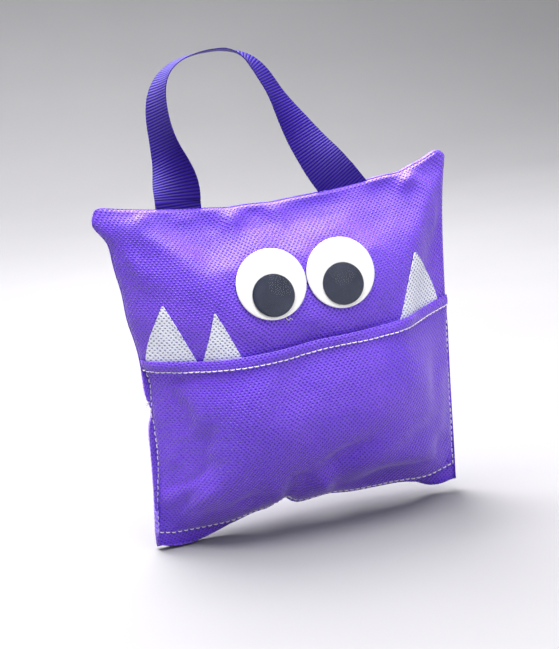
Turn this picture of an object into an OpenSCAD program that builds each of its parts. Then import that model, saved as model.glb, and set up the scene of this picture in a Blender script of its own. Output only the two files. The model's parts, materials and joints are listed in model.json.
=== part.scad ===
// Stuffed monster pillow with a front pocket for a mouth, moving eyes and a ribbon loop to hang it by.
// +Z up, the face looks along -Y, and the origin is the inside of the ribbon loop's top, where it hangs.
// Heights in the settings are counted from the lower edge of the pillow, and depths from its seam.

/* [Pillow] */
// Width between the tips of the two top corners
ear_w = 176; // [150:1:200]
// Height from the lower edge of the flange to the top corners
body_h = 168; // [150:1:190]
// How far the face stands out from the seam
face_depth = 29; // [20:1:34]
// How far the back stands out from the seam
back_depth = 33; // [20:1:38]
// How far the top edge dips between the corners
top_sag = 10; // [4:0.5:14]
// How far the lower edge lifts between the corners
bottom_arch = 4; // [0:0.5:6]
// Thickness of the pressed fabric
cloth = 0.8; // [0.5:0.1:1.2]

/* [Seams] */
// Half width of the left side at its waist
waist_left = 75.5; // [68:0.5:80]
// Half width of the right side at its foot
foot_right = 77.3; // [70:0.1:82]
// How much further out the right side is at the top
spread_right = 8; // [0:0.5:8]
// How much the lower left corner flares out
foot_flare = 5; // [0:0.5:8]
// Height of the stitched flange along the bottom
flange_h = 7; // [4:0.5:10]
// Width of the stitched flange beside the pocket
flange_w = 3.5; // [2:0.5:5]
// Diameter of the sewing thread
thread = 0.45; // [0.3:0.05:0.8]
// Length of one stitch with the gap after it
stitch = 3; // [2:0.25:5]

/* [Pocket] */
// Height of the pocket's mouth at its middle
mouth_z = 94; // [80:1:105]
// Room inside the pocket when it is closed
pocket_room = 7; // [5:0.5:9]
// Height of the folded hem
hem_h = 6; // [4:0.5:9]

/* [Eyes] */
// Outside diameter of an eye
eye_d = 34; // [26:1:36]
// Diameter of the loose pupil
pupil_d = 20.4; // [14:0.2:21]
// Height of the eye centres
eye_z = 122.5; // [112:0.5:132]
// Middle of the pair, to the right of centre
eye_mid = 3.2; // [-8:0.2:8]

/* [Ribbon] */
// Width of the ribbon
ribbon_w = 22.2; // [16:0.1:25]
// Thickness of the ribbon
ribbon_t = 0.5; // [0.3:0.1:0.8]
// Distance between the middles of the two sewn ends
ribbon_gap = 79.4; // [70:0.2:90]
// Height of the loop's top
loop_top = 233; // [210:1:250]
// How far the loop leans back, in degrees
loop_lean = 15; // [0:1:20]

/* [Hidden] */

purple = [0.38, 0.20, 0.86];
ribbon_purple = [0.22, 0.12, 0.62];
white_cloth = [0.86, 0.88, 0.96];
white_thread = [0.96, 0.90, 0.96];

seam_gap = 0.3;                       // half the gap between the two panels at the seam
turned_lip = 0.8;                     // lip of the seam where the bag was turned right side out
steps = [for (k = [-11:11]) sin(90 * k / 11)];
columns = concat([-2], steps, [2]);
skin = seam_gap + cloth;              // how far the flat flange's outer face is from the seam plane
fill_share = 0.965;                   // size of the stuffing within the seams
fill_slack = 1.3;                     // and how much shallower it is than the panels
pocket_clear = 0.5;                   // gap between pocket and face at the stitching
pocket_cloth = 0.7;
hem_proud = 0.5;                      // how far the folded hem stands out from the pocket, on each side
mouth_rise = 3;                       // how much the mouth's ends are above its middle
ribbon_mid = -7.8;                    // the loop sits left of centre
tail_down = 1.6;                      // ribbon held inside the seam
fold_gap = 0.7;                       // gap where the ribbon folds
fold_z = top_edge(ribbon_mid - (ribbon_gap + ribbon_w) / 2) + 1.2;
loop_foot = fold_z + fold_gap / 2;

// ---- outline of the sewn bag ----
function ramp(x, a, b) = let (s = min(1, max(0, (x - a) / (b - a)))) s * s * (3 - 2 * s);
function below_mouth(z) = 1 - ramp(z, mouth_z - 12, mouth_z + 6);
function left_side(z) =
    let (h = z / body_h) -waist_left - (ear_w / 2 - waist_left) * pow(h, 8) - foot_flare * pow(1 - h, 4);
function right_side(z) =
    let (h = z / body_h, out = foot_right + spread_right * h) out + (ear_w / 2 - foot_right - spread_right) * pow(h, 8);
function top_edge(x) = body_h - top_sag * (1 - pow(2 * x / ear_w, 2));
function bottom_edge(x) = bottom_arch * max(0, 1 - pow(x / waist_left, 2));

// the stitch line is inside the outline by the flange, or by the turned lip above the pocket
function lip(z) = turned_lip + (flange_w - turned_lip) * below_mouth(z);
function left_stitch(z) = left_side(z) + lip(z);
function right_stitch(z) = right_side(z) - lip(z);
function top_stitch(x) = top_edge(x) - turned_lip;
function bottom_stitch(x) = bottom_edge(x) + flange_h;

// ---- the stuffed surface, as a depth over the seam plane ----
function crown(s) = pow(1 - pow(min(1, abs(s)), 2.6), 0.62);
function share_x(x, z) = x < 0 ? x / -left_stitch(z) : x / right_stitch(z);
function share_z(x, z) = 2 * (z - bottom_stitch(x)) / (top_stitch(x) - bottom_stitch(x)) - 1;
function swell(x, z) = crown(share_x(x, z)) * crown(share_z(x, z));
function face_y(x, z) = -skin - face_depth * swell(x, z);
function pocket_y(x, z) = -skin - pocket_clear - (face_depth + pocket_room) * swell(x, z);

// ---- grid points: columns and rows beyond 1 are the outline itself ----
function across(c, z) =
    c < -1 ? left_side(z) : c > 1 ? right_side(z) : c < 0 ? -c * left_stitch(z) : c * right_stitch(z);
function up(r, x) =
    r < -1 ? bottom_edge(x) : r > 1 ? top_edge(x)
    : bottom_stitch(x) + (r + 1) / 2 * (top_stitch(x) - bottom_stitch(x));
function spot(c, r, x = 0, z = 84, n = 8) =
    n == 0 ? [x, z] : let (nx = across(c, z)) spot(c, r, nx, up(r, nx), n - 1);
function pocket_spot(c, r, z0, z1, x = 0, z = 50, n = 6) =
    n == 0 ? [x, z]
    : let (nx = across(c, z)) pocket_spot(c, r, z0, z1, nx, bottom_stitch(nx) + z0 + r * (z1 - z0 + mouth(nx)
        - bottom_stitch(nx)), n - 1);
function mouth(x) = mouth_z + mouth_rise * pow(x / waist_left, 2);

// ---- a closed sheet between two grids of the same size ----
function grid_faces(rows, cols, flip, from = 0) = [
    for (r = [0:rows - 2]) for (c = [0:cols - 2])
        let (a = from + r * cols + c, b = a + 1, d = a + cols, e = d + 1)
        each flip ? [[a, e, d], [a, b, e]] : [[a, d, e], [a, e, b]]
];
function rim_faces(edge, n) = [
    for (k = [0:len(edge) - 1])
        let (a = edge[k], b = edge[(k + 1) % len(edge)])
        each [[a, b, b + n], [a, b + n, a + n]]
];
function border(rows, cols) = concat(
    [for (c = [0:cols - 2]) c],
    [for (r = [0:rows - 2]) r * cols + cols - 1],
    [for (c = [cols - 1:-1:1]) (rows - 1) * cols + c],
    [for (r = [rows - 1:-1:1]) r * cols]
);
module slab(front, behind, rows, cols) {
    n = rows * cols;
    polyhedron(
        concat(front, behind),
        concat(grid_faces(rows, cols, false), grid_faces(rows, cols, true, n), rim_faces(border(rows, cols), n)),
        convexity = 8
    );
}

// ---- straight pieces between two points ----
module rod(a, b, r) {
    d = b - a;
    translate(a) rotate([0, acos(d.z / norm(d)), atan2(d.y, d.x)]) cylinder(h = norm(d), r = r, $fn = 16);
}
module stitches(points) {
    for (k = [0:len(points) - 2])
        let (a = points[k], b = points[k + 1]) rod(a + 0.1 * (b - a), b - 0.1 * (b - a), thread / 2);
}
module in_frame() { translate(-hang_point) children(); }

// ---- the bag ----
bag_spots = [for (r = columns) for (c = columns) spot(c, r)];
module half_bag(depth) {
    outer = [for (p = bag_spots) [p.x, -skin - depth * swell(p.x, p.y), p.y]];
    inner = [for (p = bag_spots) [p.x, -seam_gap - depth * swell(p.x, p.y), p.y]];
    slab(outer, inner, len(columns), len(columns));
}
module face_panel() { color(purple) in_frame() half_bag(face_depth); }
module back_panel() { color(purple) in_frame() mirror([0, 1, 0]) half_bag(back_depth); }

module stuffing() {
    places = [for (r = steps) for (c = steps) [spot(c * fill_share, r * fill_share), crown(c) * crown(r)]];
    front = [for (p = places) [p[0].x, -0.1 - (face_depth - fill_slack) * p[1], p[0].y]];
    behind = [for (p = places) [p[0].x, 0.1 + (back_depth - fill_slack) * p[1], p[0].y]];
    color("ivory") in_frame() slab(front, behind, len(steps), len(steps));
}

// two folded layers inside the turned part of the seam, from the pocket round the two top corners
module seam_allowance() {
    inset = 0.9;
    deep = 1.4;
    tail_half = ribbon_w / 2 + 0.6;
    color(purple) in_frame() difference() {
        rotate([90, 0, 0]) linear_extrude(height = 0.4, center = true) polygon(concat(
            [for (z = [mouth_z + 8:8:body_h - 8]) [left_side(z) + inset, z]],
            [for (k = [-10:10]) [k * (ear_w / 2 - 2) / 10, top_edge(k * (ear_w / 2 - 2) / 10) - inset]],
            [for (z = [body_h - 8:-8:mouth_z + 8]) [right_side(z) - inset, z]],
            [for (z = [mouth_z + 8:8:body_h - 8]) [right_side(z) - inset - deep, z]],
            [for (k = [10:-1:-10]) [k * (ear_w / 2 - 5) / 10, top_edge(k * (ear_w / 2 - 5) / 10) - inset - deep]],
            [for (z = [body_h - 8:-8:mouth_z + 8]) [left_side(z) + inset + deep, z]]
        ));
        for (m = ribbon_feet())
            translate([m - tail_half, -5, top_edge(m) - 8]) cube([2 * tail_half, 10, 16]);
    }
}

// hidden stitches of the turned seam, one row in each panel's layer, clear of the ribbon
module turned_seam_thread() {
    row = [for (k = [0:46]) let (x = -ear_w / 2 + 8 + k * (ear_w - 16) / 46) [x, 0, top_edge(x) - 0.45]];
    color(white_thread) in_frame() for (k = [0:len(row) - 2])
        if (!near_ribbon(row[k].x) && !near_ribbon(row[k + 1].x))
            rod(row[k] + 0.1 * (row[k + 1] - row[k]), row[k + 1] - 0.1 * (row[k + 1] - row[k]), 0.2);
}
function ribbon_feet() = [ribbon_mid - ribbon_gap / 2, ribbon_mid + ribbon_gap / 2];
function near_ribbon(x) = min([for (m = ribbon_feet()) abs(x - m)]) < ribbon_w / 2 + 1;

// the pocket's own edge, sewn down on the left, bottom and right
module pocket_edge() {
    top = mouth_z - 13;
    inset = 0.4;
    levels = [for (k = [0:8]) bottom_edge(waist_left) + k * (top - bottom_edge(waist_left)) / 8];
    low = [for (k = [-10:10]) k / 10];
    color(purple) in_frame() translate([0, -skin - 0.55, 0]) rotate([90, 0, 0])
        translate([0, 0, -0.5]) linear_extrude(height = 0.5) polygon(concat(
            [for (z = [top:-12:12]) [left_side(z) + inset, z]],
            [for (s = low) let (x = s * (abs(s < 0 ? left_side(0) : right_side(0)) - inset)) [x, bottom_edge(x) + inset]],
            [for (z = [12:12:top]) [right_side(z) - inset, z]],
            [for (z = [top:-12:12]) [right_stitch(z) + 1.3, z]],
            [for (k = [10:-1:-10]) let (x = k * (waist_left - 1) / 10) [x, bottom_stitch(x) - 0.5]],
            [for (z = [12:12:top]) [left_stitch(z) - 1.3, z]]
        ));
}

sewn_y = -skin - 0.55 - thread / 2 - 0.03;  // stitches lie on the pocket's sewn edge
module left_stitching() {
    rows = floor((mouth_z - 14) / stitch);
    color(white_thread) in_frame() stitches([for (k = [0:rows]) let (z = 9 + k * stitch) [left_stitch(z) - 1, sewn_y, z]]);
}
module right_stitching() {
    rows = floor((mouth_z - 14) / stitch);
    color(white_thread) in_frame() stitches([for (k = [0:rows]) let (z = 9 + k * stitch) [right_stitch(z) + 1, sewn_y, z]]);
}
module bottom_stitching() {
    rows = floor(2 * waist_left / stitch);
    color(white_thread) in_frame() stitches([for (k = [0:rows])
        let (x = -waist_left + k * 2 * waist_left / rows) [x, sewn_y, bottom_stitch(x) - 0.8]]);
}
// back-tacked thread ends where the sewn flange starts on the left
module thread_ends() {
    z = mouth_z - 25;
    color(white_thread) in_frame() for (k = [0:2])
        rod([left_side(z) - 0.6, 0.6 * k - 0.6, z + 1.2 * k], [left_side(z) - 2.4 + 0.4 * k, 0.9 * k - 0.9, z + 2.6 - 2 * k], 0.25);
}

// ---- the pocket, which is the mouth ----
pocket_columns = [for (c = steps) 0.985 * c];
module pocket_sheet(z0, z1, thick, proud, n) {
    rows = [for (k = [0:n]) k / n];
    places = [for (r = rows) for (c = pocket_columns) pocket_spot(c, r, z0, z1)];
    outer = [for (p = places) [p.x, pocket_y(p.x, p.y) - thick - proud, p.y]];
    inner = [for (p = places) [p.x, pocket_y(p.x, p.y) + proud, p.y]];
    slab(outer, inner, len(rows), len(pocket_columns));
}
module pocket_panel() {
    color(purple) in_frame() pocket_sheet(1.2, -1.2 - hem_h - 0.1, pocket_cloth, 0, 14);
}
module pocket_hem() {
    low = mouth_z - hem_h;
    rows = [0, 0.5, 1];
    places = [for (r = rows) for (c = pocket_columns) let (x = across(c, low)) [x, mouth(x) - hem_h + r * hem_h]];
    outer = [for (p = places) [p.x, pocket_y(p.x, p.y) - pocket_cloth - hem_proud, p.y]];
    inner = [for (p = places) [p.x, pocket_y(p.x, p.y) + hem_proud * 0.8, p.y]];
    color(purple) in_frame() slab(outer, inner, len(rows), len(pocket_columns));
}
module hem_stitching() {
    start = left_stitch(mouth_z) + 2;
    rows = floor((right_stitch(mouth_z) - start - 2) / stitch);
    color(white_thread) in_frame() stitches([for (k = [0:rows])
        let (x = start + k * stitch, z = mouth(x) - hem_h + 1)
        [x, pocket_y(x, z) - pocket_cloth - hem_proud - thread / 2 - 0.35, z]]);
}

// ---- teeth: cut cloth, their feet caught behind the hem, lying just clear of the face ----
function off_face(x, z, far) = let (d = face_lean(x, z)) [x, face_y(x, z), z] + far * d / norm(d);
module tooth(foot_x, foot_w, tip_x, tip_z, belly) {
    n = 14;
    foot_z = mouth_z - 3;
    places = [for (k = [0:n]) for (c = [-1:0.25:1])
        let (h = k / n, half = max(0.25, foot_w / 2 * (1 - h) + belly * sin(180 * h)))
        [foot_x + (tip_x - foot_x) * h + c * half, foot_z + (tip_z - foot_z) * h]];
    outer = [for (p = places) off_face(p.x, p.y, 1.45)];
    inner = [for (p = places) off_face(p.x, p.y, 0.8)];
    color(white_cloth) in_frame() slab(outer, inner, n + 1, 9);
}
module outer_left_tooth() { tooth(-62.6, 19.4, -66.2, 120.5, 1.4); }
module inner_left_tooth() { tooth(-42, 18.4, -41.8, 113.5, 0); }
module right_tooth() { tooth(61.5, 21, 63.2, 124.5, 1.6); }

// ---- eyes ----
function eye_x(k) = eye_mid + k * (eye_d / 2 + 0.2);
function face_lean(x, z) = let (e = 2) [
    (face_y(x + e, z) - face_y(x - e, z)) / (2 * e), -1, (face_y(x, z + e) - face_y(x, z - e)) / (2 * e)
];
glue_t = 0.9;
eye_wall = 0.7;
rim_h = 1.6;
dome_h = 3.2;
// the eye's own frame: its back lies on the XY plane and it looks along +Z, with -Y downwards
module on_face(k) {
    x = eye_x(k);
    d = face_lean(x, eye_z);
    n = d / norm(d);
    in_frame() translate([x, face_y(x, eye_z), eye_z] + (glue_t + 0.15) * n)
        rotate([0, 0, atan2(n.y, n.x) + 90]) rotate([90 - asin(n.z), 0, 0]) children();
}
module eye_glue(k) { color("oldlace") on_face(k) translate([0, 0, -glue_t]) cylinder(h = glue_t, r = 8, $fn = 48); }
module eye_back(k) {
    color("white") on_face(k) difference() {
        cylinder(h = 1.2, r = eye_d / 2, $fn = 96);
        translate([0, 0, 0.8]) cylinder(h = 1, r = eye_d / 2 - eye_wall - 0.4, $fn = 96);
    }
}
module eye_dome(k) {
    r = eye_d / 2 - 0.1;
    ball = (r * r + dome_h * dome_h) / (2 * dome_h);
    inner = ball - eye_wall;
    sink = ball - dome_h;
    color([0.9, 0.95, 1, 0.3]) on_face(k) translate([0, 0, 1.25]) rotate_extrude($fn = 96)
        difference() {
            union() {
                square([r, rim_h]);
                intersection() {
                    translate([0, rim_h - sink]) circle(r = ball, $fn = 256);
                    translate([0, rim_h]) square([r, dome_h + 1]);
                }
            }
            translate([-1, -1]) square([r - eye_wall + 1, rim_h + 1.001]);
            intersection() {
                translate([0, rim_h - sink]) circle(r = inner, $fn = 256);
                translate([-1, rim_h]) square([r - eye_wall + 1, dome_h + 1]);
            }
            translate([-50, -1]) square([50, 30]);
        }
}
pupil_drop = eye_d / 2 - eye_wall - 0.7 - pupil_d / 2;
module pupil(k) {
    color([0.05, 0.06, 0.10]) on_face(k) translate([0, -pupil_drop, 1.3]) cylinder(h = 0.7, r = pupil_d / 2, $fn = 96);
}
module left_eye_back() { eye_back(-1); }
module left_eye_dome() { eye_dome(-1); }
module left_eye_glue() { eye_glue(-1); }
module left_pupil() { pupil(-1); }
module right_eye_back() { eye_back(1); }
module right_eye_dome() { eye_dome(1); }
module right_eye_glue() { eye_glue(1); }
module right_pupil() { pupil(1); }

// ---- ribbon ----
// the loop's line in its own leaning plane: up the left leg, over the top and down the right leg
function bezier(p, t) = let (s = 1 - t) s * s * s * p[0] + 3 * s * s * t * p[1] + 3 * s * t * t * p[2] + t * t * t * p[3];
loop_apex = [ribbon_mid - 6.4, loop_top];
hang_point = lean_back(loop_apex) - [0, 0, ribbon_t / 2];
left_leg = [
    [ribbon_mid - ribbon_gap / 2, loop_foot], [ribbon_mid - ribbon_gap / 2 + 5, loop_foot + 28],
    loop_apex + [-40, 5], loop_apex
];
right_leg = [
    loop_apex, loop_apex + [28, -3],
    [ribbon_mid + ribbon_gap / 2 - 16, loop_foot + 46], [ribbon_mid + ribbon_gap / 2, loop_foot]
];
function loop_line(t) = t < 0.5 ? bezier(left_leg, 2 * t) : bezier(right_leg, 2 * t - 1);
// how far the ribbon has turned about its own line, so that it can bend over the top
function loop_turn(t) = lookup(t, [
    [0, 0], [0.06, 6], [0.14, 32], [0.22, 58], [0.32, 76], [0.42, 86], [0.5, 88],
    [0.6, 72], [0.7, 54], [0.8, 42], [0.88, 22], [0.95, 5], [1, 0]
]);
function lean_back(p) = let (h = p.y - loop_foot) [p.x, h * tan(loop_lean) * ramp(h, -12, 26), p.y];
function unit(v) = v / norm(v);
module ribbon_loop() {
    n = 56;
    ends = concat([[0, [0, 0, 1]]], [for (k = [1:n - 1]) let (t = k / n)
        [t, unit(lean_back(loop_line(t + 0.004)) - lean_back(loop_line(t - 0.004)))]], [[1, [0, 0, -1]]]);
    plane = [0, cos(loop_lean), -sin(loop_lean)];
    rings = [for (e = ends)
        let (c = lean_back(loop_line(e[0])), out = unit(plane - (plane * e[1]) * e[1]),
            flat = unit(cross(out, e[1])), w = cos(loop_turn(e[0])) * flat - sin(loop_turn(e[0])) * out,
            thick = unit(cross(e[1], w)))
        each [for (q = [[-1, -1], [1, -1], [1, 1], [-1, 1]]) c + q.x * ribbon_w / 2 * w + q.y * ribbon_t / 2 * thick]];
    color(ribbon_purple) in_frame() polyhedron(
        rings,
        concat(
            [[0, 1, 2], [0, 2, 3]],
            [for (k = [0:n - 1]) for (j = [0:3])
                let (a = 4 * k + j, b = 4 * k + (j + 1) % 4)
                each [[a, a + 4, b + 4], [a, b + 4, b]]],
            [[4 * n, 4 * n + 2, 4 * n + 1], [4 * n, 4 * n + 3, 4 * n + 2]]
        ),
        convexity = 8
    );
}
// the ribbon's two ends, caught between the panels in the top seam
module ribbon_tails() {
    color(ribbon_purple) in_frame() for (m = ribbon_feet())
        rotate([90, 0, 0]) linear_extrude(height = ribbon_t, center = true) polygon([
            [m - ribbon_w / 2, top_edge(m - ribbon_w / 2) - turned_lip - tail_down],
            [m + ribbon_w / 2, top_edge(m + ribbon_w / 2) - turned_lip - tail_down],
            [m + ribbon_w / 2, fold_z - fold_gap / 2], [m - ribbon_w / 2, fold_z - fold_gap / 2]
        ]);
}

ribbon_loop();
ribbon_tails();
face_panel();
back_panel();
stuffing();
seam_allowance();
turned_seam_thread();
pocket_edge();
left_stitching();
right_stitching();
bottom_stitching();
thread_ends();
pocket_panel();
pocket_hem();
hem_stitching();
outer_left_tooth();
inner_left_tooth();
right_tooth();
left_eye_back();
left_eye_dome();
left_eye_glue();
left_pupil();
right_eye_back();
right_eye_dome();
right_eye_glue();
right_pupil();
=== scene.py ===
# The monster pillow's looks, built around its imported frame.
# Shapes are worked out in millimetres on the bag: x across, y out of the back, z up from the lower edge.
import json
import math
import random

import bpy
import bmesh
from mathutils import Matrix, Vector, noise
from mathutils.bvhtree import BVHTree


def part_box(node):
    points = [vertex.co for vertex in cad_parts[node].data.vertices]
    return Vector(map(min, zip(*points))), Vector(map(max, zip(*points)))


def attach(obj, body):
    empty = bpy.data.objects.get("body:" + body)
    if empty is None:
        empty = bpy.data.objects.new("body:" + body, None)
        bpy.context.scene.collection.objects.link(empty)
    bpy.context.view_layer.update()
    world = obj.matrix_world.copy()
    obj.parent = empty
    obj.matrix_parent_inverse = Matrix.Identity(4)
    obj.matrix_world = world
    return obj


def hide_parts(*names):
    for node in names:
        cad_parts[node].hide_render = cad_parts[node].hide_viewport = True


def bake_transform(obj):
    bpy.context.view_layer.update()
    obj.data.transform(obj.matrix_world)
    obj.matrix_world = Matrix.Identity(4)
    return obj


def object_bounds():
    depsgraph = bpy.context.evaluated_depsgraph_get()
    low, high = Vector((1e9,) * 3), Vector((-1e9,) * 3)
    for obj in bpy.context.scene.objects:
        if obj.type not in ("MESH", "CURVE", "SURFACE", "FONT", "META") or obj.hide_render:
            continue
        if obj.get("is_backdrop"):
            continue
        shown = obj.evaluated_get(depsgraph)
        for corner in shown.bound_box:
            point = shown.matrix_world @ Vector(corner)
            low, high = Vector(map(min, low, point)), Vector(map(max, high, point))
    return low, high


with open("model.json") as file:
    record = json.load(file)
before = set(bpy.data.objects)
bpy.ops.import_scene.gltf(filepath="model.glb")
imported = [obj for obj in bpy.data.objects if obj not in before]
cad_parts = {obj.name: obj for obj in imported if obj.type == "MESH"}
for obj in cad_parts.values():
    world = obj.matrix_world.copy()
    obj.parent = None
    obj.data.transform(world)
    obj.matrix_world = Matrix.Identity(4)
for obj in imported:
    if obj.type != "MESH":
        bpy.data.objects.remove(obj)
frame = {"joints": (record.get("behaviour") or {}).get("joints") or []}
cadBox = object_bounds()
scene = bpy.context.scene
mm = 0.001

faceLow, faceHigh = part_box("face_panel")
seamY = (faceHigh.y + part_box("back_panel")[0].y) / 2
footZ = faceLow.z
middleX = (faceLow.x + faceHigh.x) / 2
joints = {j["name"]: j for j in frame["joints"]}


def at(x, y, z):
    return Vector((middleX + x * mm, seamY + y * mm, footZ + z * mm))


def onBag(p):
    return (p.x - middleX) / mm, (p.y - seamY) / mm, (p.z - footZ) / mm


# camera
view = {
    "azimuth": -15.0, "elevation": 11.9, "roll": -6.8, "distance": 900, "aim": (-4.9, 0, 97),
    "lens": 102.2, "sensor": 36,
}


def setCamera():
    a, e, r = (math.radians(view[k]) for k in ("azimuth", "elevation", "roll"))
    back = Vector((math.sin(a) * math.cos(e), -math.cos(a) * math.cos(e), math.sin(e)))
    right = Vector((0, 0, 1)).cross(back).normalized()
    up = back.cross(right)
    right, up = math.cos(r) * right + math.sin(r) * up, math.cos(r) * up - math.sin(r) * right
    aim = at(*view["aim"])
    data = bpy.data.cameras.new("camera")
    data.lens = view["lens"]
    data.sensor_width = view["sensor"]
    data.clip_start = 0.05
    camera = bpy.data.objects.new("camera", data)
    camera.matrix_world = Matrix.Translation(aim + back * view["distance"] * mm) @ Matrix(
        (right, up, back)).transposed().to_4x4()
    scene.collection.objects.link(camera)
    scene.camera = camera


setCamera()
print("camera set")


# helpers
def deselect():
    if bpy.context.object and bpy.context.object.mode != "OBJECT":
        bpy.ops.object.mode_set(mode="OBJECT")
    bpy.ops.object.select_all(action="DESELECT")


def pick(piece):
    deselect()
    piece.select_set(True)
    bpy.context.view_layer.objects.active = piece


def named(name):
    piece = bpy.context.object
    piece.name = name
    piece.data.name = name
    return piece


def applyAll(piece):
    pick(piece)
    for modifier in list(piece.modifiers):
        bpy.ops.object.modifier_apply(modifier=modifier.name)


def settle(piece):
    pick(piece)
    bpy.ops.object.transform_apply(location=True, rotation=True, scale=True)
    return piece


def outward(piece):
    pick(piece)
    bpy.ops.object.mode_set(mode="EDIT")
    bpy.ops.mesh.select_all(action="SELECT")
    bpy.ops.mesh.remove_doubles(threshold=0.000002)
    bpy.ops.mesh.normals_make_consistent(inside=False)
    bpy.ops.object.mode_set(mode="OBJECT")


def clothGrid(name, columns, rows, shape, level=0, straight=False):
    # a grid laid out by shape(i, j), with a UV in metres from one row and the middle column
    deselect()
    bpy.ops.mesh.primitive_grid_add(x_subdivisions=columns - 1, y_subdivisions=rows - 1, size=2)
    piece = named(name)
    across = [[0.0] * rows for _ in range(columns)]
    upward = [[0.0] * rows for _ in range(columns)]
    spots = [[None] * rows for _ in range(columns)]
    index = {}
    for v in piece.data.vertices:
        i, j = round((v.co.x + 1) / 2 * (columns - 1)), round((v.co.y + 1) / 2 * (rows - 1))
        spots[i][j] = shape(i, j)
        index[v.index] = (i, j)
    for j in range(rows):
        for i in range(1, columns):
            across[i][j] = across[i - 1][j] + (spots[i][j] - spots[i - 1][j]).length
        half = across[columns // 2][j]
        for i in range(columns):
            across[i][j] -= half
    if straight:
        # woven straight across, so that a bend doesn't slant the ribs
        across = [[row[rows // 2]] * rows for row in across]
    for i in range(columns):
        for j in range(1, rows):
            upward[i][j] = upward[i][j - 1] + (spots[i][j] - spots[i][j - 1]).length
        start = upward[i][level]
        for j in range(rows):
            upward[i][j] -= start
    for v in piece.data.vertices:
        i, j = index[v.index]
        v.co = spots[i][j]
    layer = piece.data.uv_layers.active or piece.data.uv_layers.new(name="cloth")
    layer.name = "cloth"
    for loop in piece.data.loops:
        i, j = index[loop.vertex_index]
        layer.data[loop.index].uv = (across[i][j], upward[i][j])
    return piece


def editWith(kind):
    # into edit mode with nothing selected
    bpy.ops.object.mode_set(mode="EDIT")
    bpy.ops.mesh.select_mode(type=kind)
    bpy.ops.mesh.select_all(action="DESELECT")


def joinTo(piece, others):
    pick(piece)
    for other in others:
        other.select_set(True)
    bpy.ops.object.join()


def thicken(piece, name, thickness, offset=0):
    thick = piece.modifiers.new(name, "SOLIDIFY")
    thick.thickness = thickness * mm
    thick.offset = offset


def roundEdges(piece, width, segments):
    rounded = piece.modifiers.new("round", "BEVEL")
    rounded.width = width * mm
    rounded.segments = segments
    rounded.limit_method = "ANGLE"
    rounded.angle_limit = math.radians(40)


def cover(piece, material):
    piece.data.materials.clear()
    piece.data.materials.append(material)


def strandCurve(name, radius, resolution, extraPoints):
    # a thin round curve with its points still to be placed
    data = bpy.data.curves.new(name, "CURVE")
    data.dimensions = "3D"
    data.bevel_depth = radius * mm
    data.bevel_resolution = resolution
    data.use_fill_caps = True
    line = data.splines.new("BEZIER")
    line.bezier_points.add(extraPoints)
    for point in line.bezier_points:
        point.handle_left_type = point.handle_right_type = "AUTO"
    strand = bpy.data.objects.new(name, data)
    scene.collection.objects.link(strand)
    return strand, line.bezier_points


def smoothShade(piece, angle=None):
    pick(piece)
    if angle is None:
        bpy.ops.object.shade_smooth()
    else:
        bpy.ops.object.shade_smooth_by_angle(angle=math.radians(angle))


def ramp(x, a, b):
    s = min(1, max(0, (x - a) / (b - a)))
    return s * s * (3 - 2 * s)


def hump(x, centre, width):
    return math.exp(-((x - centre) / width) ** 2)


# materials
def newMaterial(name, colour, roughness, **more):
    material = bpy.data.materials.new(name)
    material.use_nodes = True
    shader = next(n for n in material.node_tree.nodes if n.type == "BSDF_PRINCIPLED")
    shader.inputs["Base Color"].default_value = (*colour, 1)
    shader.inputs["Roughness"].default_value = roughness
    for key, value in more.items():
        socket = shader.inputs[key.replace("_", " ")]
        socket.default_value = value
    return material, shader


def node(material, kind, **values):
    made = material.node_tree.nodes.new("ShaderNode" + kind)
    for key, value in values.items():
        if hasattr(made, key):
            setattr(made, key, value)
        else:
            made.inputs[key.replace("_", " ")].default_value = value
    return made


def wire(material, a, b):
    material.node_tree.links.new(a, b)


def feed(material, made, values):
    for k, value in enumerate(values):
        if isinstance(value, (int, float, tuple)):
            made.inputs[k].default_value = value
        else:
            wire(material, value, made.inputs[k])


def maths(material, operation, *values):
    made = node(material, "Math", operation=operation)
    feed(material, made, values)
    return made.outputs[0]


def vectorMaths(material, operation, *values):
    made = node(material, "VectorMath", operation=operation)
    feed(material, made, values)
    return made.outputs["Value"] if operation == "LENGTH" else made.outputs[0]


def noiseOn(material, **values):
    # a noise that stays where it is on the piece
    place = node(material, "TexCoord").outputs["Object"]
    cloud = node(material, "TexNoise", **values)
    wire(material, place, cloud.inputs["Vector"])
    return cloud.outputs["Fac"]


def colourBy(material, shader, factor, dark, light):
    tones = node(material, "ValToRGB")
    stops = tones.color_ramp.elements
    stops[0].color, stops[1].color = (*dark, 1), (*light, 1)
    wire(material, factor, tones.inputs["Fac"])
    wire(material, tones.outputs["Color"], shader.inputs["Base Color"])
    return stops


def bumpBy(material, shader, height, strength, distance):
    bump = node(material, "Bump", Strength=strength, Distance=distance * mm)
    wire(material, height, bump.inputs["Height"])
    wire(material, bump.outputs["Normal"], shader.inputs["Normal"])


def mottled(name, dark, light, roughness, noiseValues, **more):
    # a plain material with a slightly uneven colour
    material, shader = newMaterial(name, light, roughness, **more)
    cloud = noiseOn(material, **noiseValues)
    colourBy(material, shader, cloud, dark, light)
    return material, shader, cloud


bondedCloth = {"pitch": (2.1, 2.4), "dimple": 0.66, "relief": 0.42, "strength": 1.0, "stray": 0.34}


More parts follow.
